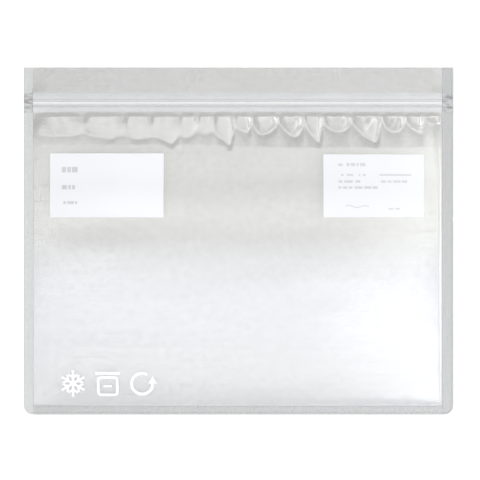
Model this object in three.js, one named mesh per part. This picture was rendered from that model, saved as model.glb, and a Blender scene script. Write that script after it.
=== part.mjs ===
// A reusable press-to-close food bag of clear soft film, lying flat with its mouth towards +Y.
//
// Millimetres. +X runs across the bag, +Y from its bottom weld to its mouth, and +Z is up.
// The rear wall lies on z = 0. Distances along the bag, called v here, start at its bottom edge,
// and one group at the end brings the middle of the bag to the origin.

import * as THREE from 'three';

// Driving dimensions of the whole bag
const BAG_WIDTH = 270;
const BAG_LENGTH = 218;
const FILM = 0.5;
const FUSED_FILMS = 0.9;
const GAP = 0.3;
const PUFF = 7.5;
const ROLL_DOWN = 30;

// Welds that join the two films
const LEFT_WELD = 6;
const RIGHT_WELD = 7.3;
const BOTTOM_WELD = 5.3;
const CORNER_RADIUS = 6;
const WELD_BESIDE_ZIP = 2;

// Zip: a bead on the rear strip snaps into jaws under the front strip
const ZIP_FROM = 189.7;
const ZIP_WIDTH = 12;
const TAPE = 0.5;
const RIDGE_HALF = 1.5;
const RIDGE_TOP_HALF = 0.9;
const RIDGE_HEIGHT = 0.4;
const STEM_HALF = 0.4;
const HEAD_HALF = 1;
const HEAD_UNDER = 1.5;
const HEAD_TOP = 2.2;
const JAW_WALL = 0.5;
const HOOK_TOP = 1.2;
const CRUSHED_ZIP = 1.9;

// White panels on the front film: left edge, lower edge, width and length
const PANEL = 0.15;
const WRITE_ON_PANEL = { x: -118, v: 123.8, width: 71.2, length: 40.1 };
const INFO_PANEL = { x: 52.8, v: 123.8, width: 63.1, length: 39.4 };

// Places worked out from them
const LEFT_EDGE = -BAG_WIDTH / 2;
const RIGHT_EDGE = BAG_WIDTH / 2;
const INSIDE_LEFT = LEFT_EDGE + LEFT_WELD + GAP;
const INSIDE_RIGHT = RIGHT_EDGE - RIGHT_WELD - GAP;
const INSIDE_WIDTH = INSIDE_RIGHT - INSIDE_LEFT;
const INSIDE_MIDDLE = (INSIDE_LEFT + INSIDE_RIGHT) / 2;
const INSIDE_BOTTOM = BOTTOM_WELD + GAP;
const ZIP_TO = ZIP_FROM + ZIP_WIDTH;
const ZIP_LINE = ZIP_FROM + ZIP_WIDTH / 2;
const FILM_TOP_EDGE = ZIP_FROM - GAP;
const LIP_FROM = ZIP_TO + GAP;
const FRONT_EDGE_Z = FILM + GAP;
const FRONT_TAPE_Z = HEAD_TOP + GAP;

// Materials
const clearFilm = new THREE.MeshStandardMaterial({ color: 0xe6e9ea, roughness: 0.28, metalness: 0 });
const weldedFilm = new THREE.MeshStandardMaterial({ color: 0xcfd1d2, roughness: 0.42, metalness: 0 });
const zipPlastic = new THREE.MeshStandardMaterial({ color: 0xdde0e2, roughness: 0.3, metalness: 0 });
const whiteLabel = new THREE.MeshStandardMaterial({ color: 0xf7f7fa, roughness: 0.5, metalness: 0 });

function part(name, geometry, material) {
  const mesh = new THREE.Mesh(geometry, material);
  mesh.name = name;
  return mesh;
}

// A thin plate with the given outline in X and v, standing on height z.
function plate(name, points, thickness, z, material) {
  const outline = new THREE.Shape(points);
  const mesh = part(name, new THREE.ExtrudeGeometry(outline, { depth: thickness, bevelEnabled: false }), material);
  mesh.position.z = z;
  return mesh;
}

// A strip with the given profile in v and z, drawn out between two places across the bag.
function strip(name, points, from, to, material) {
  const profile = new THREE.Shape(points);
  const mesh = part(name, new THREE.ExtrudeGeometry(profile, { depth: to - from, bevelEnabled: false }), material);
  mesh.rotation.set(Math.PI / 2, Math.PI / 2, 0);
  mesh.position.x = from;
  return mesh;
}

function corners(x0, x1, v0, v1) {
  return [
    new THREE.Vector2(x0, v0),
    new THREE.Vector2(x1, v0),
    new THREE.Vector2(x1, v1),
    new THREE.Vector2(x0, v1),
  ];
}

// 0 at an edge of the film, rising along a quarter of a round bulge to 1 at the flat middle.
function rise(distance) {
  const left = 1 - Math.min(Math.max(distance / ROLL_DOWN, 0), 1);
  return 1 - left * left;
}

// Height of the front film's underside: low along the welds, level with the strip at the zip,
// and puffed up between them.
function frontFilmHeight(x, v) {
  const sides = rise(x - INSIDE_LEFT) * rise(INSIDE_RIGHT - x);
  const ends = rise(v - INSIDE_BOTTOM) * rise(FILM_TOP_EDGE - v);
  const towardsZip = 1 - rise(FILM_TOP_EDGE - v);
  const edge = FRONT_EDGE_Z + (FRONT_TAPE_Z - FRONT_EDGE_Z) * towardsZip;
  return edge + PUFF * sides * ends;
}

// A sheet that follows the front film, with its underside raised by lift above the film's.
function drapedSheet(name, x, v, width, length, thickness, lift, columns, rows, material) {
  const geometry = new THREE.BoxGeometry(width, length, thickness, columns, rows, 1);
  geometry.translate(x + width / 2, v + length / 2, thickness / 2);
  const place = geometry.attributes.position;
  for (let i = 0; i < place.count; i++) {
    const height = frontFilmHeight(place.getX(i), place.getY(i));
    place.setZ(i, place.getZ(i) + height + lift);
  }
  geometry.computeVertexNormals();
  return part(name, geometry, material);
}

function rearFilm() {
  const outline = corners(INSIDE_LEFT, INSIDE_RIGHT, INSIDE_BOTTOM, FILM_TOP_EDGE);
  return plate('rear_film', outline, FILM, 0, clearFilm);
}

function frontFilm() {
  const length = FILM_TOP_EDGE - INSIDE_BOTTOM;
  return drapedSheet('front_film', INSIDE_LEFT, INSIDE_BOTTOM, INSIDE_WIDTH, length, FILM, 0, 24, 18, clearFilm);
}

function bottomWeld() {
  const outline = corners(INSIDE_LEFT, INSIDE_RIGHT, 0, BOTTOM_WELD);
  return plate('bottom_weld', outline, FUSED_FILMS, 0, weldedFilm);
}

// A side weld as the left one lies, from its outer edge at 0 to its inner edge at width.
// Its bottom corner is round, and it narrows beside the crushed end of the zip.
function sideWeldOutline(width) {
  const outline = new THREE.Shape();
  outline.moveTo(CORNER_RADIUS, 0);
  outline.lineTo(width, 0);
  outline.lineTo(width, ZIP_FROM - GAP);
  outline.lineTo(WELD_BESIDE_ZIP, ZIP_FROM - GAP);
  outline.lineTo(WELD_BESIDE_ZIP, ZIP_TO + GAP);
  outline.lineTo(width, ZIP_TO + GAP);
  outline.lineTo(width, BAG_LENGTH);
  outline.lineTo(0, BAG_LENGTH);
  outline.lineTo(0, CORNER_RADIUS);
  outline.absarc(CORNER_RADIUS, CORNER_RADIUS, CORNER_RADIUS, Math.PI, 1.5 * Math.PI, false);
  return outline.extractPoints(10).shape;
}

function leftSideWeld() {
  const outline = sideWeldOutline(LEFT_WELD).map((p) => new THREE.Vector2(LEFT_EDGE + p.x, p.y));
  return plate('left_side_weld', outline, FUSED_FILMS, 0, weldedFilm);
}

function rightSideWeld() {
  const outline = sideWeldOutline(RIGHT_WELD).map((p) => new THREE.Vector2(RIGHT_EDGE - p.x, p.y));
  return plate('right_side_weld', outline.reverse(), FUSED_FILMS, 0, weldedFilm);
}

// The zip's ends are crushed flat: full height inside, as thin as the weld at the bag's edge.
function zipEndWeld(name, outer, inner) {
  const profile = new THREE.Shape([
    new THREE.Vector2(Math.min(outer, inner), 0),
    new THREE.Vector2(Math.max(outer, inner), 0),
    new THREE.Vector2(Math.max(outer, inner), outer < inner ? CRUSHED_ZIP : FUSED_FILMS),
    new THREE.Vector2(Math.min(outer, inner), outer < inner ? FUSED_FILMS : CRUSHED_ZIP),
  ]);
  const mesh = part(name, new THREE.ExtrudeGeometry(profile, { depth: ZIP_WIDTH, bevelEnabled: false }), zipPlastic);
  mesh.rotation.x = Math.PI / 2;
  mesh.position.y = ZIP_TO;
  return mesh;
}

// Rear strip: a flat tape with a mushroom bead along its middle.
function maleZipStrip() {
  const profile = [
    new THREE.Vector2(ZIP_FROM, 0),
    new THREE.Vector2(ZIP_TO, 0),
    new THREE.Vector2(ZIP_TO, TAPE),
    new THREE.Vector2(ZIP_LINE + STEM_HALF, TAPE),
    new THREE.Vector2(ZIP_LINE + STEM_HALF, HEAD_UNDER),
    new THREE.Vector2(ZIP_LINE + HEAD_HALF, HEAD_UNDER),
    new THREE.Vector2(ZIP_LINE + STEM_HALF, HEAD_TOP),
    new THREE.Vector2(ZIP_LINE - STEM_HALF, HEAD_TOP),
    new THREE.Vector2(ZIP_LINE - HEAD_HALF, HEAD_UNDER),
    new THREE.Vector2(ZIP_LINE - STEM_HALF, HEAD_UNDER),
    new THREE.Vector2(ZIP_LINE - STEM_HALF, TAPE),
    new THREE.Vector2(ZIP_FROM, TAPE),
  ];
  return strip('male_zip_strip', profile, INSIDE_LEFT, INSIDE_RIGHT, zipPlastic);
}

// Front strip: a tape with two hooked jaws under it and a raised guide ridge on top.
function femaleZipStrip() {
  const inner = HEAD_HALF + GAP;
  const hook = STEM_HALF + GAP;
  const outer = inner + JAW_WALL;
  const lowest = TAPE + GAP;
  const top = FRONT_TAPE_Z + TAPE;
  const rightHalf = [
    new THREE.Vector2(inner, FRONT_TAPE_Z),
    new THREE.Vector2(inner, HOOK_TOP),
    new THREE.Vector2(hook, HOOK_TOP),
    new THREE.Vector2(hook, lowest),
    new THREE.Vector2(outer, lowest),
    new THREE.Vector2(outer, FRONT_TAPE_Z),
    new THREE.Vector2(ZIP_TO - ZIP_LINE, FRONT_TAPE_Z),
    new THREE.Vector2(ZIP_TO - ZIP_LINE, top),
    new THREE.Vector2(RIDGE_HALF, top),
    new THREE.Vector2(RIDGE_TOP_HALF, top + RIDGE_HEIGHT),
  ];
  const leftHalf = rightHalf.map((p) => new THREE.Vector2(-p.x, p.y)).reverse();
  const profile = [...rightHalf, ...leftHalf].map((p) => new THREE.Vector2(ZIP_LINE + p.x, p.y));
  return strip('female_zip_strip', profile, INSIDE_LEFT, INSIDE_RIGHT, zipPlastic);
}

function rearLip() {
  const outline = corners(INSIDE_LEFT, INSIDE_RIGHT, LIP_FROM, BAG_LENGTH);
  return plate('rear_lip', outline, FILM, 0, clearFilm);
}

// The front lip leans from the front strip down to the rear lip.
function frontLip() {
  const profile = [
    new THREE.Vector2(LIP_FROM, FRONT_TAPE_Z),
    new THREE.Vector2(BAG_LENGTH, FRONT_EDGE_Z),
    new THREE.Vector2(BAG_LENGTH, FRONT_EDGE_Z + FILM),
    new THREE.Vector2(LIP_FROM, FRONT_TAPE_Z + FILM),
  ];
  return strip('front_lip', profile, INSIDE_LEFT, INSIDE_RIGHT, clearFilm);
}

function panel(name, place, columns, rows) {
  return drapedSheet(name, place.x, place.v, place.width, place.length, PANEL, FILM + GAP, columns, rows, whiteLabel);
}

const rearWall = new THREE.Group();
rearWall.add(
  rearFilm(),
  leftSideWeld(),
  rightSideWeld(),
  bottomWeld(),
  maleZipStrip(),
  zipEndWeld('left_zip_end_weld', LEFT_EDGE + WELD_BESIDE_ZIP + GAP, LEFT_EDGE + LEFT_WELD),
  zipEndWeld('right_zip_end_weld', RIGHT_EDGE - WELD_BESIDE_ZIP - GAP, RIGHT_EDGE - RIGHT_WELD),
  rearLip(),
);

const frontWall = new THREE.Group();
frontWall.add(
  frontFilm(),
  femaleZipStrip(),
  frontLip(),
  panel('write_on_panel', WRITE_ON_PANEL, 10, 4),
  panel('info_panel', INFO_PANEL, 10, 4),
);

const bag = new THREE.Group();
bag.add(rearWall, frontWall);
bag.position.y = -BAG_LENGTH / 2;

export default bag;
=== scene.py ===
# %% [markdown]
# # A clear press-to-close food bag
#
# The bag is two films of soft plastic, welded together along both sides and the bottom.
# A zip runs under the open edge: a bead on the rear wall snaps into jaws on the front wall.
# The bag lies flat on a white table and is seen from straight above, so its whole look comes
# from three things: see-through film, the light mirrored in its soft bulges, and the small
# puckers where the film was welded to a zip that is a little shorter than the film.
#
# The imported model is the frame. It gives every place, and each piece here stands for a part of it.

import math

import bmesh
import bpy
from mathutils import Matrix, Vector, noise


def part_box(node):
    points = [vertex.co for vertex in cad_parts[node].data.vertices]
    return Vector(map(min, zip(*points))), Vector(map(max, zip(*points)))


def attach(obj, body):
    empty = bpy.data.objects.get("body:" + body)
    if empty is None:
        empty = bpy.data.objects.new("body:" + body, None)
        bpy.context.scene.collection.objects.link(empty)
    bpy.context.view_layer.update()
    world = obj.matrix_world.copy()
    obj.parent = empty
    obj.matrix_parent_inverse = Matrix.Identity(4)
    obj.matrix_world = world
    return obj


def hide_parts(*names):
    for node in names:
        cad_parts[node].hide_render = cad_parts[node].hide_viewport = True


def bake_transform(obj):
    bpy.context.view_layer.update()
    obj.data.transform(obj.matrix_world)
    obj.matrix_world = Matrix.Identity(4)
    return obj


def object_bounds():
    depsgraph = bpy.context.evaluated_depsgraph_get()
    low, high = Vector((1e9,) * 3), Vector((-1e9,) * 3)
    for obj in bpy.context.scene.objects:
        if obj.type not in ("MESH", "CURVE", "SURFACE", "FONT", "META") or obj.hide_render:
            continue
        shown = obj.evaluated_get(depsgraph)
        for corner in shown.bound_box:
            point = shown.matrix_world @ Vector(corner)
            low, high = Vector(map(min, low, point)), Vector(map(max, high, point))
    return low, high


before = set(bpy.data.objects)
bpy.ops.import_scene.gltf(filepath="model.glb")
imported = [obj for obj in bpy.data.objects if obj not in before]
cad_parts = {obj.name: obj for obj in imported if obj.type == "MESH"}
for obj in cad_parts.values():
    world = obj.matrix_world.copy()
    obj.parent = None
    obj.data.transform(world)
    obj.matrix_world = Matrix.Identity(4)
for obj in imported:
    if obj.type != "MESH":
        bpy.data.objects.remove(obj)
cad_low, cad_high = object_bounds()
print("bag:", [round(side, 4) for side in cad_high - cad_low])

# %% [markdown]
# ## Places
#
# A maker thinks of a bag in millimetres across and in millimetres up from its bottom edge.
# Everything below is in metres and in the frame's own axes, so these few names are read off
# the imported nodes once, and the rest of the script is written with them.

# %% Places on the bag
MM = 0.001
LEFT = cad_low.x
RIGHT = cad_high.x
BOTTOM = cad_low.y
TOP = cad_high.y
WELD_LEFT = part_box("left_side_weld")[1].x
WELD_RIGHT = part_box("right_side_weld")[0].x
WELD_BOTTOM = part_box("bottom_weld")[1].y
WELD_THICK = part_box("bottom_weld")[1].z
ZIP_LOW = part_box("male_zip_strip")[0].y
ZIP_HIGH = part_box("male_zip_strip")[1].y
ZIP_LINE = (ZIP_LOW + ZIP_HIGH) / 2
TAPE_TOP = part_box("front_lip")[1].z
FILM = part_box("rear_film")[1].z
FILM_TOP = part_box("front_film")[1].z
CORNER = 6 * MM
SKIN = 0.4 * MM
print("film from", round(WELD_BOTTOM, 4), "to", round(ZIP_LOW, 4), "top", round(FILM_TOP, 4))

# %% [markdown]
# ## The camera and the table
#
# The bag is looked at from straight above, from far enough away for its sides to look parallel.
# The camera's distance is worked out from the width that it has to take in.

# %% Camera
VIEW_WIDTH = 301.4 * MM
camera_data = bpy.data.cameras.new("camera")
camera_data.lens = 85
camera = bpy.data.objects.new("camera", camera_data)
camera_height = VIEW_WIDTH * camera_data.lens / camera_data.sensor_width
camera.location = (0.85 * MM, 0.75 * MM, camera_height)
bpy.context.scene.collection.objects.link(camera)
bpy.context.scene.camera = camera
print("camera height:", round(camera_height, 3))

# %% [markdown]
# ## Making sheets
#
# Film, welds and printed panels are all the same thing to a modeller: a thin solid whose top
# and underside follow a height. One helper makes a grid, moves it where a `place` function
# says, and lets `bmesh` extrude it into a closed solid, whose two sides then get their heights.

# %% Helpers for meshes
def smooth(value):
    """0 below 0, 1 above 1, and a soft S between them."""
    value = min(max(value, 0.0), 1.0)
    return value * value * (3 - 2 * value)


def bell(distance, width):
    """1 at no distance, falling off softly on both sides."""
    return math.exp(-((distance / width) ** 2))


def finish_object(name, shape, sharp=50):
    """A bmesh as a finished object: closed, facing out, smooth but for its sharp edges."""
    bmesh.ops.recalc_face_normals(shape, faces=shape.faces)
    mesh = bpy.data.meshes.new(name)
    shape.to_mesh(mesh)
    shape.free()
    mesh.shade_smooth()
    mesh.set_sharp_from_angle(angle=math.radians(sharp))
    made = bpy.data.objects.new(name, mesh)
    bpy.context.scene.collection.objects.link(made)
    return made


def grid(columns, rows):
    """A flat bmesh grid over the unit square."""
    shape = bmesh.new()
    bmesh.ops.create_grid(shape, x_segments=columns, y_segments=rows, size=0.5)
    bmesh.ops.translate(shape, verts=shape.verts, vec=(0.5, 0.5, 0))
    return shape


def thicken(shape, top, under):
    """Closes a flat sheet into a solid, with the given heights of its top and underside."""
    made = bmesh.ops.extrude_face_region(shape, geom=list(shape.faces), use_keep_orig=True)
    raised = {v for v in made["geom"] if isinstance(v, bmesh.types.BMVert)}
    for vertex in shape.verts:
        height = top if vertex in raised else under
        vertex.co.z = height(vertex.co.x, vertex.co.y)
    return shape


def sheet(name, x0, x1, y0, y1, step, top, under):
    """A thin solid over a rectangle of the bag."""
    shape = grid(max(1, round((x1 - x0) / step)), max(1, round((y1 - y0) / step)))
    bmesh.ops.scale(shape, verts=shape.verts, vec=(x1 - x0, y1 - y0, 1))
    bmesh.ops.translate(shape, verts=shape.verts, vec=(x0, y0, 0))
    return finish_object(name, thicken(shape, top, under))


# %% [markdown]
# ## The front film
#
# The front film is welded to the zip, and the zip is a little shorter, so the film puckers
# below it. Each tuck is pinched flat at the zip's edge, and between two tucks the film puffs
# up in a small lobe, round or pointed at its lower end. Under the lobes the film dips, and
# then swells into the bag's long flat bulge. A lobe is one line of a list here, because a
# maker would move and resize them one by one to match a real bag.

# %% The lobes below the zip
# Each lobe: the tuck on its left, its depth, where its tip is between its tucks, how pointed
LOBES = [
    (-129, 15, 0.45, 0.1),
    (-97, 16, 0.55, 0.1),
    (-71.5, 17, 0.55, 0.3),
    (-55, 19, 0.75, 0.8),
    (-37, 16, 0.40, 0.4),
    (-25.5, 14, 0.50, 0.4),
    (-15.5, 21, 0.78, 0.9),
    (-2.5, 13, 0.70, 0.5),
    (8.5, 14, 0.38, 0.1),
    (25, 16, 0.70, 0.5),
    (41, 19.5, 0.78, 0.9),
    (53, 12.5, 0.60, 0.1),
    (70.5, 19.5, 0.80, 0.9),
    (90, 12.5, 0.60, 0.1),
    (104.5, 14, 0.88, 0.7),
    (116.5, 8, 0.60, 0.3),
    (127.7, 8, 0.5, 0),
]
LOBE_HEIGHT = 3.7 * MM


def to_right(x, width=60 * MM):
    """0 on the bag's left and 1 on its right, with a soft change of this width in the middle."""
    return smooth(0.5 + x / width)


def lobe_at(x):
    """The lobe at this place across the bag, and the one after it."""
    for lobe, after in zip(LOBES, LOBES[1:]):
        if x < after[0] * MM:
            break
    return lobe, after


def lobe_reach(x, below):
    """How far below the zip the lobes reach here, and the share of the way across the lobe."""
    lobe, after = lobe_at(x)
    tuck, depth, tip, point = lobe
    before = LOBES[max(LOBES.index(lobe) - 1, 0)]
    across = min(max((x - tuck * MM) / ((after[0] - tuck) * MM), 0.0), 1.0)
    middle = 0.5 + (tip - 0.5) * min(below / (depth * MM), 1)
    side = (middle - across) / middle if across < middle else (across - middle) / (1 - middle)
    neighbour = after[1] if across > middle else before[1]
    notch = 0.16 + 0.46 * smooth((x + 40 * MM) / (60 * MM))
    at_tuck = (depth + neighbour) / 2 * (1 - notch)
    outline = (1 - point) * side**2.6 + point * side**1.2
    ragged = 1 + 0.12 * noise.noise(Vector((x * 130, 4, 6)))
    return (depth + (at_tuck - depth) * outline) * ragged * MM, across


def lobe_height(x, below):
    """How far the lobe at this place stands above the film around it."""
    (tuck, *_), (next_tuck, *_) = lobe_at(x)
    reach, across = lobe_reach(x, below)
    if below >= reach:
        return 0.0
    left_flank = 1 - (1 - min(across / 0.26, 1)) ** 2
    right_flank = 1 - (1 - min((1 - across) / 0.36, 1)) ** 1.4
    groove = 1 - smooth(below / (13 * MM))
    shoulder = 1 - (0.2 + 0.8 * groove) * (1 - left_flank * right_flank)
    height = LOBE_HEIGHT * min((next_tuck - tuck) / 15, 1.0) ** 0.6 * (0.68 + 0.40 * to_right(x))
    soft = noise.noise(Vector((x * 160, below * 50, 2)))
    sharp = abs(noise.noise(Vector((x * 230 + below * 90, below * 60, 7))))
    crease = 1 + 0.3 * soft - 0.5 * sharp * to_right(x, 80 * MM)
    start = smooth((below - 0.7 * MM) / (2.2 * MM))
    return height * shoulder * crease * start * (1 - (below / reach) ** 1.2)


# %% [markdown]
# The rest of the film is one broad bulge with a few slow waves across it, which is what a
# laid-down bag with a little air in it does. Between the ends of the lobes and one line below
# them all it climbs a short slope that faces the dim end of the room, and towards the foot it
# eases off before its last steep edge. The quarter-round `rise` makes the bulge level out, so
# that a lamp is mirrored in soft bands. Along the right side weld the film has a narrow ledge,
# which mirrors the low lamp as a crisp line.

# %% The bulge and its waves
PUFF = 6.4 * MM
LEDGE = 0.9 * MM
LEDGE_WIDTH = 1.5 * MM
EDGE_TOP = WELD_THICK


def rise(distance, reach):
    """From 0 at an edge to 1 beyond reach, along a quarter of a round bulge."""
    left = 1 - min(max(distance / reach, 0.0), 1.0)
    return 1 - left * left


def climb_at(x, below):
    """The share of the short slope below the lobes that is climbed here."""
    reach = lobe_reach(x, below)[0]
    slope_end = max(reach + 3 * MM, (20.5 + 1.5 * to_right(x)) * MM)
    return min(max((below - reach) / (slope_end - reach), 0.0), 1.0)


def bulge_height(x, y):
    """The height of the front film's top, without the lobes."""
    below, foot = ZIP_LOW - y, y - WELD_BOTTOM
    left, right = x - WELD_LEFT, WELD_RIGHT - x
    climb = climb_at(x, below)
    past_edge = right - 1 * MM
    right_side = 0.15 * rise(past_edge, 24 * MM) + 0.85 * rise(past_edge, 110 * MM)
    sides = rise(left, 60 * MM) * right_side
    step = 0.20 + 0.16 * to_right(x)
    top_end = step * climb + (1 - step) * rise(below - 21 * MM, 84 * MM)
    shelf = 0.30 * rise(foot - 38 * MM, 64 * MM) + 0.35 * rise(foot, 105 * MM)
    ends = (0.35 * rise(foot, 26 * MM) + shelf) * top_end
    waves = 1 - 0.17 * bell(below - 71 * MM, 12 * MM) + 0.05 * bell(below - 50 * MM, 9 * MM)
    slack = 0.7 * noise.noise(Vector((x * 14, y * 26, 3))) + 0.3 * noise.noise(Vector((x * 30, y * 60, 8)))
    bulge = sides * ends * (PUFF * waves + slack * MM)
    ledge = LEDGE * to_right(x, 200 * MM) * min(min(left, right) / LEDGE_WIDTH, 1.0)
    ledge_ends = rise(foot, 5 * MM) * climb
    off_tape = 1 - smooth((below - 2 * MM) / (44 * MM))
    at_zip = (TAPE_TOP - EDGE_TOP) * off_tape * min(rise(left, 22 * MM), rise(right, 9 * MM))
    return EDGE_TOP + at_zip + ledge * ledge_ends + bulge


def film_height(x, y):
    """The height of the front film's top, with its lobes."""
    sides = min(rise(x - WELD_LEFT, 14 * MM), rise(WELD_RIGHT - x, 4 * MM))
    return bulge_height(x, y) + lobe_height(x, ZIP_LOW - y) * sides


# %% [markdown]
# The film is made whole, as one closed skin, and then cut in two along the bag's middle.
# The cut can't be seen. The normals along the cut are copied from the whole film, so that
# both halves mirror the light alike.

# %% Make the whole film, and cut it into halves
FILM_STEP = 0.95 * MM
FOLD_GAIN = 6
ON_THE_CUT = 1e-7


def store_folds(shape):
    """Keeps how sharply the film is bent, and how much it is gathered, from 0 to 1 each."""
    layer = shape.verts.layers.float.new("fold")
    gathered = shape.verts.layers.float.new("gather")
    for vertex in shape.verts:
        around = [edge.other_vert(vertex).co for edge in vertex.link_edges]
        level = [co for co in around if (co.xy - vertex.co.xy).length > 0.1 * MM]
        middle = sum(level, Vector()) / len(level)
        inside = min(vertex.co.x - WELD_LEFT, WELD_RIGHT - vertex.co.x) > FILM_STEP
        vertex[layer] = min(1.0, FOLD_GAIN * abs(middle.z - vertex.co.z) / FILM_STEP) if inside else 0.0
        # How gathered the film is: the finish adds density there and paints shade into its colour.
        below = ZIP_LOW - vertex.co.y
        vertex[gathered] = (1 - climb_at(vertex.co.x, below)) * smooth((below - 1.5 * MM) / (4 * MM))


def whole_film():
    """The front film in one piece, with finer rows near the zip, where the lobes are."""
    columns = 2 * round(WELD_RIGHT / FILM_STEP)
    length = ZIP_LOW - WELD_BOTTOM
    shape = grid(columns, round(length / FILM_STEP * 0.8))
    for vertex in shape.verts:
        across = 2 * vertex.co.x - 1
        x = -across * WELD_LEFT if across < 0 else across * WELD_RIGHT
        down = 1 - vertex.co.y
        vertex.co = (x, ZIP_LOW - length * down * (0.5 + 0.5 * down), 0)
    thicken(shape, film_height, lambda x, y: film_height(x, y) - SKIN)
    store_folds(shape)
    return shape


def half_of(whole, name, side):
    """The half of a closed skin on one side of the bag's middle, closed along the cut."""
    half = whole.copy()
    half.normal_update()
    far = [face for face in half.faces if face.calc_center_median().x * side < 0]
    bmesh.ops.delete(half, geom=far, context="FACES")
    open_edges = [edge for edge in half.edges if edge.is_boundary]
    across = [edge for edge in open_edges if abs(edge.verts[0].co.y - edge.verts[1].co.y) > 1e-6]
    bmesh.ops.bridge_loops(half, edges=across)
    bmesh.ops.holes_fill(half, edges=[edge for edge in half.edges if edge.is_boundary])
    return finish_object(name, half)


def keep_normals(whole, halves):
    """Gives the cut's points in both halves the normals that they have in the whole skin."""
    whole.normal_update()
    found = {}
    for vertex in whole.verts:
        if abs(vertex.co.x) < ON_THE_CUT:
            found[tuple(round(c, 7) for c in vertex.co)] = vertex.normal.copy()
    for half in halves:
        normals = [found.get(tuple(round(c, 7) for c in v.co), Vector()) for v in half.data.vertices]
        half.data.normals_split_custom_set_from_vertices(normals)


def halves_of(whole, name):
    """Both halves of a closed skin."""
    bmesh.ops.recalc_face_normals(whole, faces=whole.faces)
    halves = [half_of(whole, name + "_left", -1), half_of(whole, name + "_right", 1)]
    keep_normals(whole, halves)
    whole.free()
    print(name, "halves:", [len(half.data.polygons) for half in halves])
    return halves


film_left, film_right = halves_of(whole_film(), "front_film")

# %% [markdown]
# ## The rear film
#
# The rear film lies on the table. It is the same film, almost flat, and it is seen through
# the front one, where its own faint waves add a second, softer set of reflections.

# %% Rear film
REAR_WAVE = 0.9 * MM


def rear_height(x, y):
    """The height of the rear film's underside above the table."""
    edge = min(x - WELD_LEFT, WELD_RIGHT - x, y - WELD_BOTTOM, ZIP_LOW - y)
    wave = 0.5 + 0.5 * noise.noise(Vector((x * 25, y * 40, 11)))
    return REAR_WAVE * wave * rise(edge, 12 * MM)


rear_film = sheet(
    "rear_film_sheet", WELD_LEFT, WELD_RIGHT, WELD_BOTTOM, ZIP_LOW, 2.5 * MM,
    lambda x, y: rear_height(x, y) + SKIN, rear_height,
)
print("rear film faces:", len(rear_film.data.polygons))

# %% [markdown]
# ## The zip
#
# Both zip strips are drawn through a die, so each has one cross-section all along. It is
# drawn here as a closed outline in millimetres around the zip's middle line, filled, and
# pulled across the bag. Each strip is then cut across every few millimetres.

# %% The strips' cross-sections
FEMALE_PROFILE = [
    (-6, 2.5), (-1.8, 2.5), (-1.8, 0.8), (-0.7, 0.8), (-0.7, 1.2), (-1.3, 1.3), (-1.3, 2.5),
    (1.3, 2.5), (1.3, 1.3), (0.7, 1.2), (0.7, 0.8), (1.8, 0.8), (1.8, 2.5), (6, 2.5), (6, 3),
    (4, 3), (3.8, 3.12), (3.4, 3.12), (3.2, 3), (2.1, 3), (1.7, 3.35), (1.3, 3.62), (0.7, 3.72),
    (0, 3.69), (-0.9, 3.6), (-1.5, 3.45), (-1.75, 2.9), (-1.9, 3), (-3.2, 3), (-3.4, 3.12), (-3.8, 3.12),
    (-4, 3), (-6, 3),
]
MALE_PROFILE = [
    (-6, 0), (6, 0), (6, 0.5), (0.4, 0.5), (0.4, 1.5), (1, 1.5), (0.8, 1.8), (0.4, 2.2),
    (-0.4, 2.2), (-0.8, 1.8), (-1, 1.5), (-0.4, 1.5), (-0.4, 0.5), (-6, 0.5),
]
CUT_EVERY = 4 * MM


def strip(profile, x0, x1):
    """A closed bar with the given cross-section between two places across the bag."""
    shape = bmesh.new()
    ring = [shape.verts.new((x0, ZIP_LINE + y * MM, z * MM)) for y, z in profile]
    face = shape.faces.new(ring)
    pulled = bmesh.ops.extrude_face_region(shape, geom=[face], use_keep_orig=True)
    moved = [v for v in pulled["geom"] if isinstance(v, bmesh.types.BMVert)]
    bmesh.ops.translate(shape, verts=moved, vec=(x1 - x0, 0, 0))
    for cut in range(1, round((x1 - x0) / CUT_EVERY)):
        place = (x0 + cut * CUT_EVERY, 0, 0)
        everything = [*shape.verts, *shape.edges, *shape.faces]
        bmesh.ops.bisect_plane(shape, geom=everything, plane_co=place, plane_no=(1, 0, 0))
    return shape


male_strip = finish_object("male_strip", strip(MALE_PROFILE, WELD_LEFT, WELD_RIGHT), 40)
female_left = finish_object("female_strip_left", strip(FEMALE_PROFILE, WELD_LEFT, 0), 40)
female_right = finish_object("female_strip_right", strip(FEMALE_PROFILE, 0, WELD_RIGHT), 40)
print("strip faces:", len(female_left.data.polygons))

# %% [markdown]
# ## The crushed ends of the zip
#
# A hot jaw crushes each end of the zip flat, so that the bag is tight there. What is left is
# a lump of mixed-up ridges that falls away to the edge of the bag.

# %% Crushed ends
def crushed_end(name, edge, inner):
    """The crushed end between the bag's edge and the strips."""
    width = inner - edge

    def top(x, y):
        inwards = min(max((x - edge) / width, 0.0), 1.0)
        ridge = bell(y - ZIP_LINE, 2.2 * MM)
        coarse = noise.noise(Vector((x * 220, y * 620, 5)))
        crush = coarse + 0.5 * noise.noise(Vector((x * 500, y * 1300, 9)))
        height = 1.0 + 2.0 * inwards**1.4 * (0.55 + 0.45 * ridge)
        return (height + 0.9 * crush * smooth(inwards * 5) * (1.15 - inwards)) * MM

    low, high = min(edge, inner), max(edge, inner)
    return sheet(name, low, high, ZIP_LOW, ZIP_HIGH, 0.3 * MM, top, lambda x, y: 0.6 * MM)


END_MARGIN = 0.4 * MM
left_end = crushed_end("left_crushed_end", LEFT + END_MARGIN, WELD_LEFT)
right_end = crushed_end("right_crushed_end", RIGHT - END_MARGIN, WELD_RIGHT)
print("crushed end faces:", len(left_end.data.polygons))

# %% [markdown]
# ## The lips
#
# Above the zip both films run on as a lip, which fingers pull apart. The rear lip lies flat.
# The front lip leans down onto it from the height of the zip, with slow waves along it.

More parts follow.
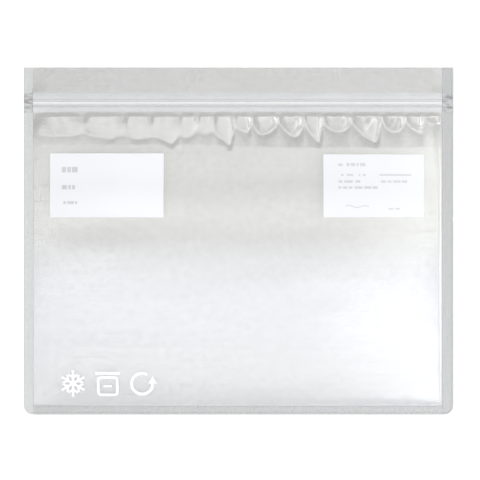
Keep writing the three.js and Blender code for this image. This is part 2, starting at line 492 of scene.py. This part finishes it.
# %% Lips
def front_lip_height(x, y):
    """The height of the front lip's top, which falls away from the zip."""
    outwards = (y - ZIP_HIGH) / (TOP - ZIP_HIGH)
    sides = min(rise(x - WELD_LEFT, 10 * MM), rise(WELD_RIGHT - x, 10 * MM))
    wave = 0.22 * noise.noise(Vector((x * 28, y * 12, 21))) * smooth(outwards * 2)
    drop = (TAPE_TOP - 1.25 * MM) * outwards
    return EDGE_TOP + (TAPE_TOP - EDGE_TOP - drop + wave * MM) * (1 - (1 - sides) * smooth(outwards * 3))


def front_lip(x0, x1):
    columns = round((x1 - x0) / (2 * MM))
    shape = grid(2 * (columns // 2), 10)
    bmesh.ops.scale(shape, verts=shape.verts, vec=(x1 - x0, TOP - ZIP_HIGH, 1))
    bmesh.ops.translate(shape, verts=shape.verts, vec=(x0, ZIP_HIGH, 0))
    return thicken(shape, front_lip_height, lambda x, y: front_lip_height(x, y) - SKIN)


lip_left = finish_object("front_lip_left", front_lip(WELD_LEFT, 0))
lip_right = finish_object("front_lip_right", front_lip(0, WELD_RIGHT))
rear_lip = sheet(
    "rear_lip_sheet", WELD_LEFT, WELD_RIGHT, ZIP_HIGH, TOP, 3 * MM,
    lambda x, y: FILM, lambda x, y: 0.0,
)

# %% [markdown]
# ## The welds
#
# A hot bar fuses the two films along the sides and the bottom, and a hot wire then trims the
# edge, which leaves a thin bead just inside it. The weld is a band that follows the bag's
# outline, so it is made as a grid with one direction along the outline and one across it.
# At a bottom corner the outer edge goes round an arc, and the inner edge waits at a point.

# %% The outline, and the weld bands on it
BEAD_IN = 1.15 * MM


def weld_top(along, across, width):
    """The weld's height: a rounded trimmed edge, a bead, a groove and a raised inner edge."""
    edge = math.sqrt(max(0.0, 1 - (1 - min(across / (0.45 * MM), 1)) ** 2))
    bead = 0.26 * bell(across - BEAD_IN, 0.32 * MM)
    groove = -0.10 * bell(across - 1.9 * MM, 0.4 * MM)
    flash = 0.12 * bell(across - (width - 0.5 * MM), 0.35 * MM)
    ripple = 0.05 * noise.noise(Vector((along * 420, across * 700, width * 1000)))
    return WELD_THICK * (0.35 + 0.65 * edge) + (bead + groove + flash + ripple) * MM


def weld_band(name, outer, inner, length):
    """A closed band between an outer and an inner line, each a function of 0 to 1."""
    rows = round(length / (1.6 * MM))
    shape = grid(22, rows)
    for vertex in shape.verts:
        vertex.co.z = vertex.co.y
    made = bmesh.ops.extrude_face_region(shape, geom=list(shape.faces), use_keep_orig=True)
    raised = {v for v in made["geom"] if isinstance(v, bmesh.types.BMVert)}
    for vertex in shape.verts:
        share, along = vertex.co.x, vertex.co.y
        start, end = outer(along), inner(along)
        flat = start.lerp(end, share)
        width = (end - start).length
        height = weld_top(along * length, share * width, width) if vertex in raised else 0.0
        vertex.co = (flat.x, flat.y, height)
    bmesh.ops.remove_doubles(shape, verts=shape.verts, dist=0.5e-6)
    return finish_object(name, shape)


def side_outer(side, share):
    """The outer outline from the lip down to the end of the bottom corner's arc."""
    edge = LEFT if side < 0 else RIGHT
    straight = TOP - BOTTOM - CORNER
    arc = CORNER * math.pi / 2
    run = share * (straight + arc)
    if run <= straight:
        return Vector((edge, TOP - run, 0))
    angle = (run - straight) / CORNER
    x = edge - side * CORNER * (1 - math.cos(angle))
    return Vector((x, BOTTOM + CORNER * (1 - math.sin(angle)), 0))


def side_inner(side, share):
    """The inner edge of the same weld, which waits at the corner while the arc goes round."""
    edge = WELD_LEFT if side < 0 else WELD_RIGHT
    straight = TOP - BOTTOM - CORNER
    run = share * (straight + CORNER * math.pi / 2)
    return Vector((edge, max(TOP - run, WELD_BOTTOM), 0))


SIDE_RUN = TOP - BOTTOM - CORNER + CORNER * math.pi / 2
left_weld = weld_band("left_side_seal", lambda s: side_outer(-1, s), lambda s: side_inner(-1, s), SIDE_RUN)
right_weld = weld_band("right_side_seal", lambda s: side_outer(1, s), lambda s: side_inner(1, s), SIDE_RUN)
bottom_weld = weld_band(
    "bottom_seal",
    lambda s: Vector((LEFT + CORNER + s * (RIGHT - LEFT - 2 * CORNER), BOTTOM, 0)),
    lambda s: Vector((WELD_LEFT + s * (WELD_RIGHT - WELD_LEFT), WELD_BOTTOM, 0)),
    RIGHT - LEFT - 2 * CORNER,
)
print("weld faces:", len(left_weld.data.polygons), len(bottom_weld.data.polygons))

# %% [markdown]
# ## Print on the film
#
# Two white panels to write on and three small white signs are printed on the front film.
# Print has almost no thickness, but it follows every wave, so each printed piece is cut into
# small tiles and laid on the film's own height, a hair above it.

# %% Lay print on the film
INK = 0.06 * MM
ABOVE_FILM = 0.05 * MM
TILE = 2.5 * MM


def cut_to_tiles(shape):
    """Cuts a flat shape along a square grid, so that it can follow a curved one."""
    xs, ys = [v.co.x for v in shape.verts], [v.co.y for v in shape.verts]
    for low, high, normal in ((min(xs), max(xs), (1, 0, 0)), (min(ys), max(ys), (0, 1, 0))):
        for cut in range(1, math.ceil((high - low) / TILE)):
            place = Vector(normal) * (low + cut * TILE)
            everything = [*shape.verts, *shape.edges, *shape.faces]
            bmesh.ops.bisect_plane(shape, geom=everything, plane_co=place, plane_no=normal)


def printed(name, shape, layer=1):
    """Lays a flat bmesh on the film as ink: layer 1 on the film, layer 2 on a panel."""
    cut_to_tiles(shape)
    lift = ABOVE_FILM + (layer - 1) * (INK + 0.02 * MM)
    thicken(shape, lambda x, y: film_height(x, y) + lift + INK, lambda x, y: film_height(x, y) + lift)
    return finish_object(name, shape)


def add_bar(shape, x, y, width, height):
    """Adds a flat bar to a bmesh, by its middle."""
    made = bmesh.ops.create_grid(shape, x_segments=1, y_segments=1, size=0.5)
    bmesh.ops.scale(shape, verts=made["verts"], vec=(width, height, 1))
    bmesh.ops.translate(shape, verts=made["verts"], vec=(x, y, 0))


def panel(name, node):
    low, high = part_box(node)
    shape = bmesh.new()
    add_bar(shape, (low.x + high.x) / 2, (low.y + high.y) / 2, high.x - low.x, high.y - low.y)
    return printed(name, shape)


write_panel = panel("write_on_label", "write_on_panel")
info_panel = panel("info_label", "info_panel")

# %% [markdown]
# The panels carry grey print, which here is only bars where words would be, and a wavy rule.

# %% Grey bars on the panels
def bars(name, node, rows):
    """Grey bars on a panel: each row is its distance from the top, then starts and lengths."""
    low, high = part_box(node)
    shape = bmesh.new()
    for down, height, *runs in rows:
        for start, length in runs:
            x = low.x + (start + length / 2) * MM
            add_bar(shape, x, high.y - down * MM, length * MM, height * MM)
    return printed(name, shape, layer=2)


WRITE_ROWS = [
    (10.2, 3.4, (7.5, 2.6), (10.9, 2.2), (13.8, 3.6)),
    (21.2, 2.6, (7.5, 3.2), (11.6, 1.6), (14.0, 1.8)),
    (30.8, 1.8, (8.5, 1.6), (11.0, 4.2), (16.0, 1.2)),
]
INFO_ROWS = [
    (6.6, 1.6, (9.3, 2.7)),
    (6.4, 2.0, (14.6, 1.6), (17.2, 2.6), (20.8, 1.2), (23.0, 3.2)),
    (12.9, 1.1, (11.0, 1.6), (14.6, 4.0), (22.0, 1.0), (24.6, 2.0), (35.0, 20.0)),
    (17.0, 1.5, (9.6, 2.2), (13.0, 5.4), (20.0, 3.0), (36.0, 3.2), (40.2, 2.4), (43.6, 4.6), (49.0, 3.4)),
    (20.8, 1.5, (9.4, 1.8), (12.2, 2.8), (15.8, 2.2), (19.4, 5.0), (25.4, 4.4), (30.6, 3.4)),
    (34.0, 0.9, (40.6, 3.2), (45.0, 2.8)),
]
write_rows = bars("write_on_rows", "write_on_panel", WRITE_ROWS)
info_rows = bars("info_rows", "info_panel", INFO_ROWS)

# %% [markdown]
# Three signs stand in the lower left corner: frost, a lidded box and a ring with an arrow,
# for frozen, stored and used again. They are a plain set drawn for this bag. The frost sign
# is one outline turned six times, the box is an inset frame, and the ring is a bent grid.

# %% The three signs
SIGN_Y = BOTTOM + 20 * MM
SIGN_XS = (-103.6 * MM, -81.8 * MM, -60.3 * MM)
FROST_ARM = [(0.75, 1.3), (0.75, 3.4), (2.9, 4.9), (2.9, 6.5), (0.75, 5.1), (0.75, 8.3)]


def frost_sign():
    """Six arms with a pair of branches each."""
    shape = bmesh.new()
    outline = []
    for arm in range(6):
        turn = -arm * math.pi / 3
        for side, out in [(-x, y) for x, y in FROST_ARM] + FROST_ARM[::-1]:
            x = side * math.cos(turn) - out * math.sin(turn)
            y = side * math.sin(turn) + out * math.cos(turn)
            outline.append(shape.verts.new((x * MM, y * MM, 0)))
    shape.faces.new(outline)
    return shape


def box_sign():
    """A box with round corners under a lid."""
    shape = bmesh.new()
    add_bar(shape, 0, -1.6 * MM, 13.5 * MM, 12.6 * MM)
    bmesh.ops.bevel(
        shape, geom=shape.verts[:], offset=2.4 * MM, affect="VERTICES",
        segments=5, profile=0.5, material=-1,
    )
    plate = shape.faces[:]
    bmesh.ops.inset_individual(shape, faces=plate, thickness=1.6 * MM, use_even_offset=True)
    bmesh.ops.delete(shape, geom=plate, context="FACES_ONLY")
    add_bar(shape, 0, 6.6 * MM, 15.5 * MM, 1.9 * MM)
    add_bar(shape, 0, -1.6 * MM, 5.2 * MM, 1.5 * MM)
    return shape


def ring_sign():
    """A ring that ends in an arrow."""
    shape = bmesh.new()
    bmesh.ops.create_grid(shape, x_segments=40, y_segments=1, size=0.5)
    gap, radius, width = math.radians(62), 6.6 * MM, 1.8 * MM
    for vertex in shape.verts:
        angle = gap + (vertex.co.x + 0.5) * (2 * math.pi - gap)
        out = radius + vertex.co.y * width
        vertex.co = (out * math.cos(angle), out * math.sin(angle), 0)
    arrow = [(radius - 2.7 * MM, 0.1 * MM), (radius + 2.7 * MM, 0.1 * MM), (radius, 4.6 * MM)]
    shape.faces.new([shape.verts.new((x, y, 0)) for x, y in arrow])
    return shape


def sign(name, shape, x):
    bmesh.ops.translate(shape, verts=shape.verts, vec=(x, SIGN_Y, 0))
    return printed(name, shape)


frost = sign("frost_sign", frost_sign(), SIGN_XS[0])
box = sign("box_sign", box_sign(), SIGN_XS[1])
ring = sign("ring_sign", ring_sign(), SIGN_XS[2])


def wavy_rule(name, node, start, down, length):
    """A thin wavy line on a panel."""
    low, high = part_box(node)
    shape = bmesh.new()
    bmesh.ops.create_grid(shape, x_segments=30, y_segments=1, size=0.5)
    for vertex in shape.verts:
        run = vertex.co.x + 0.5
        wave = 0.8 * math.sin(run * 3 * math.pi) * (1 - 0.5 * run)
        across = vertex.co.y * 0.55
        vertex.co = (low.x + (start + run * length) * MM, high.y - (down - wave - across) * MM, 0)
    return printed(name, shape, layer=2)


rule = wavy_rule("info_rule", "info_panel", 13.8, 32.6, 14.6)
print("signs:", [len(piece.data.polygons) for piece in (frost, box, ring)])

# %% [markdown]
# ## Shader sums
#
# A material's numbers are easier to read as sums than as a web of nodes. `Wire` holds one
# socket and turns `+`, `-` and `*` into Math nodes, and `Nodes.node` makes any other node
# from its settings and its inputs. A `Finish` is the nodes of one material.

# %% Wires and finishes
class Wire:
    """One output socket that can be used in a sum."""

    def __init__(self, nodes, socket):
        self.nodes = nodes
        self.socket = socket

    def sum(self, operation, first, second):
        return self.nodes.node("ShaderNodeMath", {"operation": operation}, {0: first, 1: second})

    def __add__(self, other):
        return self.sum("ADD", self, other)

    __radd__ = __add__

    def __sub__(self, other):
        return self.sum("SUBTRACT", self, other)

    def __rsub__(self, other):
        return self.sum("SUBTRACT", other, self)

    def __mul__(self, other):
        return self.sum("MULTIPLY", self, other)

    __rmul__ = __mul__


class Nodes:
    """A node tree, and one way to make any node in it."""

    def __init__(self, tree):
        self.tree = tree

    def node(self, kind, settings=None, inputs=None, output=0):
        made = self.tree.nodes.new(kind)
        for key, value in (settings or {}).items():
            setattr(made, key, value)
        for key, value in (inputs or {}).items():
            if isinstance(value, Wire):
                self.tree.links.new(value.socket, made.inputs[key])
            else:
                made.inputs[key].default_value = value
        return Wire(self, made.outputs[output])


class Finish(Nodes):
    """One material: its constant numbers, and the nodes that vary over the surface."""

    def __init__(self, name, **constants):
        self.material = bpy.data.materials.new(name)
        self.material.use_nodes = True
        super().__init__(self.material.node_tree)
        self.shader = self.tree.nodes["Principled BSDF"]
        for socket, value in constants.items():
            self.shader.inputs[socket.replace("_", " ")].default_value = value
        self.place = self.node("ShaderNodeTexCoord", output="Object")

    def part(self, axis, vector=None):
        """One number of a place: 0 is across the bag, 1 is up it and 2 is off the table."""
        return self.node("ShaderNodeSeparateXYZ", inputs={0: vector or self.place}, output=axis)

    def stretched(self, x, y, z=1):
        """The piece's own coordinates, stretched for a pattern that runs one way."""
        return self.node("ShaderNodeMapping", inputs={"Vector": self.place, "Scale": (x, y, z)})

    def noise(self, scale, detail=2.0, place=None, roughness=0.5):
        """Soft cloudy values around 0.5, with scale patches to the metre."""
        inputs = {"Vector": place or self.place, "Scale": scale, "Detail": detail, "Roughness": roughness}
        return self.node("ShaderNodeTexNoise", inputs=inputs)

    def between(self, factor, first, second):
        """A colour between two colours."""
        inputs = {0: factor, 6: first, 7: second}
        return self.node("ShaderNodeMix", {"data_type": "RGBA"}, inputs, output=2)

    def attribute(self, name):
        return self.node("ShaderNodeAttribute", {"attribute_name": name}, output=2)

    def stripe(self, distance, inner, outer):
        """1 within the inner distance of a line, falling to 0 at the outer distance."""
        off = self.node("ShaderNodeMath", {"operation": "ABSOLUTE"}, {0: distance})
        limits = {"Value": off, "From Min": inner, "From Max": outer, "To Min": 1.0, "To Max": 0.0}
        return self.node("ShaderNodeMapRange", inputs=limits)

    def joined(self):
        """0 on the upright walls where two pieces of one film meet, and 1 elsewhere."""
        facing = self.node("ShaderNodeNewGeometry", output="True Normal")
        wall = self.stripe(self.part(2, facing), 0.3, 0.6)
        x, y = self.part(0), self.part(1)
        away = 1
        for distance in (x, x - WELD_LEFT, x - WELD_RIGHT, y - ZIP_LOW, y - ZIP_HIGH, y - WELD_BOTTOM):
            away = away * (1 - self.stripe(distance, 0.02 * MM, 0.08 * MM))
        return 1 - wall * (1 - away)

    def set(self, socket, wire):
        self.tree.links.new(wire.socket, self.shader.inputs[socket])

    def relief(self, height):
        """Bumps of the given height in metres."""
        self.set("Normal", self.node("ShaderNodeBump", inputs={"Distance": 1.0, "Height": height}))


def coat(finish, *pieces):
    for piece in pieces:
        piece.data.materials.clear()
        piece.data.materials.append(finish.material)


# %% [markdown]
# ## Finishes
#
# The two walls are each one film, but here they are several pieces that meet edge to edge. The
# pieces are closed, so each has a thin wall where it meets the next. `joined` makes those walls
# clear, and the film looks unbroken from one piece to the next.
#
# Clear soft film isn't invisible. Each skin lets most light through, greys it a little, and
# mirrors lamps strongly. Here each film is a closed skin, so light meets it twice, and the
# bag's two films make four. The alpha is low, and the index of refraction is high to make up
# for the share of the gloss that a low alpha takes away.
#
# Three things keep the film from looking like glass: faint lines from the die across the
# bag, a slow ripple that bends what is mirrored, and whitening where it is folded sharply.
# The fold's sharpness was stored on the front film when it was made, and so was where the film
# is gathered: there it is seen at a slant and partly doubled, so it is denser, and its colour is
# darkened as painted shade. The film's colour also holds a painted reflection of the room:
# warmer near the zip than below the middle, as it mirrors different ends of the room, and
# darker near the foot.

# %% Clear film
FILM_CLEAR = (0.455, 0.455, 0.455, 1)
# The warm, cool and foot colours paint the body film's reflection of the room; the warm one also tints the
# lips' random clouds.
FILM_WARM = (0.435, 0.435, 0.395, 1)
FILM_COOL = (0.45, 0.455, 0.485, 1)
FILM_FOOT = (0.385, 0.39, 0.405, 1)
FILM_WHITE = (0.78, 0.785, 0.79, 1)
# The deepest film colour is painted shade, for the gathered film below the zip.
FILM_PAINTED_SHADE = (0.25, 0.25, 0.24, 1)


def lip_tint(finish):
    """An even grey with faint warm clouds."""
    return finish.between(finish.noise(14, 2), FILM_CLEAR, FILM_WARM)


def body_painted_reflection(finish):
    """Painted reflection of the room: warmer near the zip, cooler below the middle, and darker near the
    foot.
    """
    near_zip = finish.stripe(finish.part(1) - ZIP_LOW, 68 * MM, 108 * MM)
    near_foot = finish.stripe(finish.part(1) - WELD_BOTTOM, 20 * MM, 60 * MM)
    return finish.between(near_zip, finish.between(near_foot, FILM_COOL, FILM_FOOT), FILM_WARM)


def film_finish(name, alpha, tint_of, folded=False):
    finish = Finish(name, IOR=2.4)
    tint = tint_of(finish)
    haze = finish.noise(260, 3, roughness=0.6)
    die_lines = finish.noise(1, 4, place=finish.stretched(6, 900))
    ripple = finish.noise(1, 1, place=finish.stretched(28, 60, 40))
    tilt = finish.node("ShaderNodeLayerWeight", inputs={"Blend": 0.5}, output="Facing")
    denser = finish.node("ShaderNodeMath", {"operation": "MINIMUM"}, {0: 1.8 * tilt, 1: 0.135})
    dense = alpha + denser + 0.05 * (haze - 0.5)
    if folded:
        fold = finish.attribute("fold")
        gather = finish.attribute("gather")
        # Where the film is gathered its colour is darkened as painted shade; the extra alpha below stands
        # for the doubled film.
        tint_in_painted_shade = finish.between(gather, tint, FILM_PAINTED_SHADE)
        tint = finish.between(fold * 0.2, tint_in_painted_shade, FILM_WHITE)
        dense = dense + 0.04 * fold + 0.035 * gather
    finish.set("Base Color", tint)
    finish.set("Alpha", dense * finish.joined())
    finish.set("Roughness", 0.20 + 0.10 * haze + 0.12 * (die_lines - 0.5))
    finish.relief(0.00006 * ripple + 0.0000016 * die_lines + 0.000003 * haze)
    return finish


clear_film = film_finish("clear_film", 0.157, body_painted_reflection)
gathered_film = film_finish("gathered_film", 0.147, body_painted_reflection, folded=True)
lip_film = film_finish("lip_film", 0.157, lip_tint)
coat(gathered_film, film_left, film_right)
coat(clear_film, rear_film)
coat(lip_film, lip_left, lip_right, rear_lip)

# %% [markdown]
# Where the films are fused they are denser, and the hot bar leaves fine marks along the weld.

# %% Welds
WELD_DARK = (0.32, 0.325, 0.325, 1)
WELD_LIGHT = (0.40, 0.405, 0.405, 1)
UP_THE_SIDE = (1400, 60)
ACROSS_THE_FOOT = (60, 1400)


def weld_finish(name, alpha, direction):
    finish = Finish(name, IOR=1.45)
    marks = finish.noise(1, 4, place=finish.stretched(*direction))
    specks = finish.noise(700, 2)
    finish.set("Base Color", finish.between(marks, WELD_DARK, WELD_LIGHT))
    finish.set("Alpha", (alpha + 0.10 * (specks - 0.5)) * finish.joined())
    finish.set("Roughness", 0.30 + 0.2 * (marks - 0.5))
    finish.relief(0.000004 * marks + 0.000002 * specks)
    return finish


# The right and bottom welds are made denser, so darker, than the left: their extra density is painted
# shade.
left_weld_finish = weld_finish("left_weld_film", 0.35, UP_THE_SIDE)
right_weld_painted_shade = weld_finish("right_weld_film_painted_shade", 0.49, UP_THE_SIDE)
bottom_weld_painted_shade = weld_finish("bottom_weld_film_painted_shade", 0.47, ACROSS_THE_FOOT)
coat(left_weld_finish, left_weld)
coat(right_weld_painted_shade, right_weld)
coat(bottom_weld_painted_shade, bottom_weld)

# %% [markdown]
# The zip is thicker plastic of the same kind: milkier, glossy, with lines from its own die.
# At its crushed ends it is rough and whitened.

# %% Zip
# White: the crushed ends' whitened plastic, and the painted highlight on the zip's ridge.
ZIP_WHITE = (0.86, 0.865, 0.87, 1)
TAPE_DARK = (0.45, 0.46, 0.47, 1)
TAPE_LIGHT = (0.53, 0.54, 0.55, 1)
# The grey of a painted shadow below the zip's ridge.
RIDGE_SHADOW_GREY = (0.42, 0.425, 0.43, 1)
CRUSHED_DARK = (0.12, 0.12, 0.13, 1)


def zip_base(name):
    """What the strips and their crushed ends share: the plastic, its die lines and its milk."""
    finish = Finish(name, IOR=1.8)
    drawn = finish.noise(1, 3, place=finish.stretched(5, 1500))
    return finish, drawn, finish.noise(40, 2)


def strip_finish():
    """Milky tape; its ridge carries a painted highlight, whiter and less dense, and a thin grey line below
    the ridge is a painted shadow.
    """
    finish, drawn, milk = zip_base("zip_plastic")
    across = finish.part(1) - ZIP_LINE
    # The ridge mask paints a highlight along the bead: white colour and less density.
    ridge = finish.stripe(across, 1.3 * MM, 1.8 * MM)
    # A thin grey line below the ridge is a painted shadow of the ridge.
    line = finish.stripe(across + 2.1 * MM, 0.15 * MM, 0.55 * MM)
    tape = finish.between(ridge, finish.between(milk, TAPE_DARK, TAPE_LIGHT), ZIP_WHITE)
    finish.set("Base Color", finish.between(line, tape, RIDGE_SHADOW_GREY))
    dense = 0.21 + 0.10 * (milk - 0.5) + 0.02 * line - 0.10 * ridge
    finish.set("Alpha", dense * finish.joined())
    finish.set("Roughness", 0.42 + 0.12 * (drawn - 0.5))
    finish.relief(0.000003 * drawn)
    return finish


def crushed_finish():
    """White plastic with dark streaks along the bag, where the jaw has broken it up."""
    finish, drawn, milk = zip_base("crushed_zip_plastic")
    broken = finish.noise(1, 1, place=finish.stretched(170, 760))
    finish.set("Base Color", finish.between(4 * broken - 1.6, ZIP_WHITE, CRUSHED_DARK))
    finish.set("Alpha", (0.1 + 0.10 * (milk - 0.5) + 0.3 * broken) * finish.joined())
    finish.set("Roughness", 0.2 + 0.12 * (drawn - 0.5))
    finish.relief(0.00004 * broken)
    return finish


coat(strip_finish(), male_strip, female_left, female_right)
coat(crushed_finish(), left_end, right_end)

# %% [markdown]
# The print is opaque ink. White ink is satin and a little uneven, as a wide printed area is,
# and the grey of the bars is thin enough for its dots to show.

# %% Ink
def ink_finish(name, dark, light):
    finish = Finish(name, IOR=1.45)
    patches = finish.noise(60, 2)
    dots = finish.noise(2600, 2)
    finish.set("Base Color", finish.between(0.6 * patches + 0.4 * dots, dark, light))
    finish.set("Roughness", 0.6 + 0.2 * (dots - 0.5))
    finish.relief(0.000004 * dots + 0.00002 * patches)
    return finish


panel_ink = ink_finish("white_panel_ink", (0.73, 0.73, 0.75, 1), (0.76, 0.76, 0.775, 1))
info_ink = ink_finish("white_info_ink", (0.68, 0.68, 0.70, 1), (0.71, 0.71, 0.725, 1))
sign_ink = ink_finish("white_sign_ink", (0.80, 0.80, 0.81, 1), (0.84, 0.84, 0.85, 1))
grey_ink = ink_finish("grey_ink", (0.46, 0.46, 0.47, 1), (0.62, 0.62, 0.63, 1))
coat(panel_ink, write_panel)
coat(info_ink, info_panel)
coat(sign_ink, frost, box, ring)
coat(grey_ink, write_rows, info_rows, rule)

# %% [markdown]
# ## Table and light
#
# The table is white and lit so brightly that it shows pure white, and hardly takes a shadow.

# %% Table
TABLE_DARK = (0.60, 0.60, 0.60, 1)
TABLE_LIGHT = (0.62, 0.62, 0.62, 1)
bpy.ops.mesh.primitive_plane_add(size=12, location=(0, 0, -0.3 * MM))
table = bpy.context.object
table.name = "table"
white_table = Finish("white_table", Roughness=0.9, Emission_Strength=0.62)
speckle = white_table.noise(300, 2)
white_table.set("Base Color", white_table.between(speckle, TABLE_DARK, TABLE_LIGHT))
white_table.shader.inputs["Emission Color"].default_value = (1, 1, 1, 1)
coat(white_table, table)

# %% [markdown]
# A wide soft lamp hangs just to the front of the bag, where the lower half of the bulge faces
# it. A second one to its right makes the lower right the brightest part. A small strong one
# stands low on the right, and only the steep ledge and the right side of each lobe mirror it.
# The room is dim at the zip's end, which keeps the film there grey against the white table.

# %% Lamps and room
LAMP_COLOUR = (0.965, 0.98, 1)


def lamp(name, place, width, depth, radiance):
    """A soft oblong lamp that faces the middle of the bag, as bright as its radiance says."""
    data = bpy.data.lights.new(name, "AREA")
    data.shape = "RECTANGLE"
    data.size = width
    data.size_y = depth
    data.energy = radiance * math.pi * width * depth
    data.color = LAMP_COLOUR
    made = bpy.data.objects.new(name, data)
    made.location = place
    made.rotation_euler = (-Vector(place)).to_track_quat("-Z", "Y").to_euler()
    made.visible_camera = False
    bpy.context.scene.collection.objects.link(made)


lamp("wide_lamp", (-0.06, -0.24, 1.05), 1.6, 0.40, 2.7)
lamp("right_lamp", (0.41, -0.075, 0.95), 0.58, 0.34, 3.5)
lamp("low_right_lamp", (1.0, -0.1, 0.55), 0.5, 0.3, 8.0)

world = bpy.data.worlds.new("room")
bpy.context.scene.world = world
world.use_nodes = True
room = Nodes(world.node_tree)
way = room.node("ShaderNodeTexCoord", output="Generated")
leaning = {0: way, 1: (0.25, -0.97, 0)}
towards_front = room.node("ShaderNodeVectorMath", {"operation": "DOT_PRODUCT"}, leaning, "Value")
limits = {"Value": towards_front, "From Min": -0.6, "From Max": 0.1, "To Min": 0.1, "To Max": 1.0}
dim = room.node("ShaderNodeMapRange", inputs=limits)
seen = room.node("ShaderNodeLightPath", output="Is Camera Ray")
strength = room.node("ShaderNodeMix", inputs={0: seen, 2: dim, 3: 1.0})
background = world.node_tree.nodes["Background"]
background.inputs["Color"].default_value = (1, 1, 1, 1)
world.node_tree.links.new(strength.socket, background.inputs["Strength"])
bpy.context.scene.view_settings.view_transform = "Standard"

# %% [markdown]
# ## Joining the pieces to the frame
#
# The mouth opens between the two walls. Everything on the rear wall rides on it. What spans
# the front wall is in two halves, each listed with the side weld it meets; here they only
# have their places fixed, and the frame's parts that they stand for are hidden.

# %% Ride on the rear wall, and fix the front pieces in place
for piece, node in (
    (rear_film, "rear_film"),
    (rear_lip, "rear_lip"),
    (male_strip, "male_zip_strip"),
    (left_weld, "left_side_weld"),
    (right_weld, "right_side_weld"),
    (bottom_weld, "bottom_weld"),
    (left_end, "left_zip_end_weld"),
    (right_end, "right_zip_end_weld"),
):
    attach(piece, "rear_wall")
    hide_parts(node)

for piece, nodes, edge in (
    (film_left, ["front_film"], WELD_LEFT),
    (film_right, ["front_film"], WELD_RIGHT),
    (female_left, ["female_zip_strip"], WELD_LEFT),
    (female_right, ["female_zip_strip"], WELD_RIGHT),
    (lip_left, ["front_lip"], WELD_LEFT),
    (lip_right, ["front_lip"], WELD_RIGHT),
    (write_panel, ["write_on_panel"], WELD_LEFT),
    (info_panel, ["info_panel"], WELD_RIGHT),
    (write_rows, [], WELD_LEFT),
    (info_rows, [], WELD_RIGHT),
    (rule, [], WELD_RIGHT),
    (frost, [], WELD_LEFT),
    (box, [], WELD_LEFT),
    (ring, [], WELD_LEFT),
):
    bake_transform(piece)
    if nodes:
        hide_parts(*nodes)
